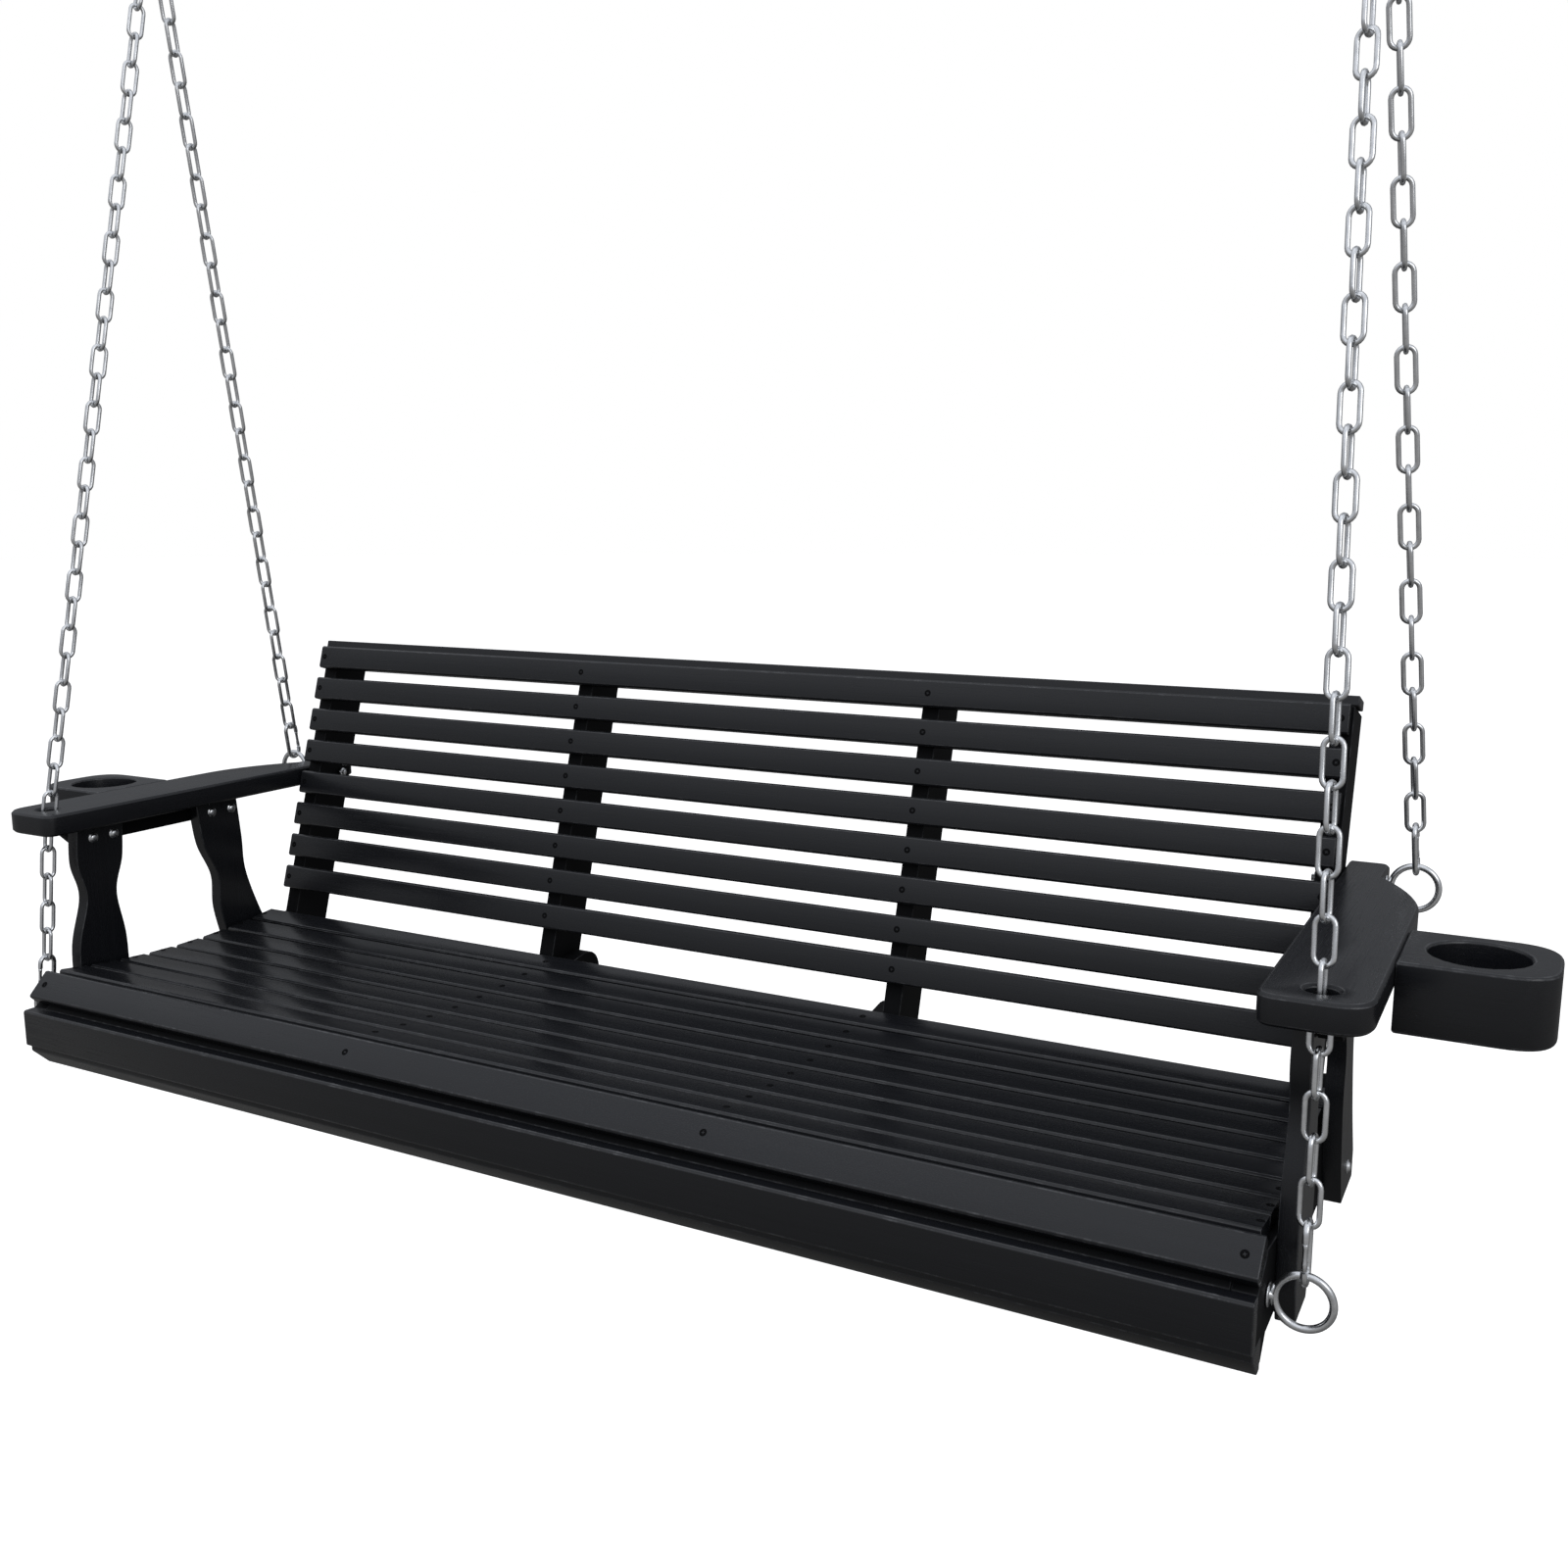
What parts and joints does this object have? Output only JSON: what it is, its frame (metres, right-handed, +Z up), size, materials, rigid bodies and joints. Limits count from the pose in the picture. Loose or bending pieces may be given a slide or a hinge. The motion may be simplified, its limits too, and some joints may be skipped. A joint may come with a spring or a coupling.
{
  "type": "porch swing",
  "caption": "Slatted wooden porch swing bench with a hollowed seat, paddle arms and side cup holders, hung on chains from two ceiling hangers.",
  "frame": {"origin": "on the ceiling, midway between the two hangers", "axes": "+X along the bench towards the sitter's left arm, -Y the way a sitter faces, +Z up"},
  "size_m": [1.9512, 0.6066, 1.5353],
  "materials": {
    "black_paint": "satin black paint over sanded softwood, faint grain",
    "zinc_steel": "bright zinc plating"
  },
  "bodies": {
    "ceiling": {"ceiling_hanger_left": "zinc_steel", "ceiling_hanger_right": "zinc_steel"},
    "swing": {"arm_cleat_left": "black_paint", "arm_cleat_right": "black_paint", "arm_post_front_left": "black_paint", "arm_post_front_right": "black_paint", "arm_post_rear_left": "black_paint", "arm_post_rear_right": "black_paint", "armrest_left": "black_paint", "armrest_right": "black_paint", "back_post_end_left": "black_paint", "back_post_end_right": "black_paint", "back_post_mid_left": "black_paint", "back_post_mid_right": "black_paint", "back_slat_1": "black_paint", "back_slat_2": "black_paint", "back_slat_3": "black_paint", "back_slat_4": "black_paint", "back_slat_5": "black_paint", "back_slat_6": "black_paint", "back_slat_7": "black_paint", "back_slat_8": "black_paint", "chain_front_left": "zinc_steel", "chain_front_right": "zinc_steel", "chain_rear_left": "zinc_steel", "chain_rear_right": "zinc_steel", "cup_holder_left": "black_paint", "cup_holder_right": "black_paint", "eye_bolt_front_left": "zinc_steel", "eye_bolt_front_right": "zinc_steel", "eye_bolt_rear_left": "zinc_steel", "eye_bolt_rear_right": "zinc_steel", "front_apron": "black_paint", "front_fascia": "black_paint", "front_rail": "black_paint", "nose_slat": "black_paint", "seat_frame_end_left": "black_paint", "seat_frame_end_right": "black_paint", "seat_frame_mid_left": "black_paint", "seat_frame_mid_right": "black_paint", "seat_slat_1": "black_paint", "seat_slat_2": "black_paint", "seat_slat_3": "black_paint", "seat_slat_4": "black_paint", "seat_slat_5": "black_paint", "seat_slat_6": "black_paint", "seat_slat_7": "black_paint", "seat_slat_8": "black_paint", "snap_hook_front_left": "zinc_steel", "snap_hook_front_right": "zinc_steel", "snap_hook_rear_left": "zinc_steel", "snap_hook_rear_right": "zinc_steel", "top_cap": "black_paint", "top_ring_left": "zinc_steel", "top_ring_right": "zinc_steel"},
    "snap_gate_front_left": {"snap_gate_front_left": "zinc_steel"},
    "snap_gate_front_right": {"snap_gate_front_right": "zinc_steel"},
    "snap_gate_rear_left": {"snap_gate_rear_left": "zinc_steel"},
    "snap_gate_rear_right": {"snap_gate_rear_right": "zinc_steel"}
  },
  "joints": [
    {"name": "swing_fore_and_aft", "type": "hinge", "parent": "ceiling", "child": "swing", "pos_m": [0, 0, -0.028], "axis": [1, 0, 0], "range_deg": [-28, 28]},
    {"name": "snap_gate_front_left_hinge", "type": "hinge", "parent": "swing", "child": "snap_gate_front_left", "pos_m": [-0.80595, -0.25222, -1.44161], "axis": [-0.9998, 0.0009, 0.0195], "range_deg": [0, 24], "stiffness_Nm_per_rad": 0.12, "springref_deg": -11.46},
    {"name": "snap_gate_front_right_hinge", "type": "hinge", "parent": "swing", "child": "snap_gate_front_right", "pos_m": [0.80595, -0.25222, -1.44161], "axis": [-0.9998, -0.0009, -0.0195], "range_deg": [0, 24], "stiffness_Nm_per_rad": 0.12, "springref_deg": -11.46},
    {"name": "snap_gate_rear_left_hinge", "type": "hinge", "parent": "swing", "child": "snap_gate_rear_left", "pos_m": [-0.82656, 0.24286, -1.18727], "axis": [0.9978, 0.0066, -0.0656], "range_deg": [0, 24], "stiffness_Nm_per_rad": 0.12, "springref_deg": -11.46},
    {"name": "snap_gate_rear_right_hinge", "type": "hinge", "parent": "swing", "child": "snap_gate_rear_right", "pos_m": [0.82656, 0.24286, -1.18727], "axis": [0.9978, -0.0066, 0.0656], "range_deg": [0, 24], "stiffness_Nm_per_rad": 0.12, "springref_deg": -11.46}
  ]
}
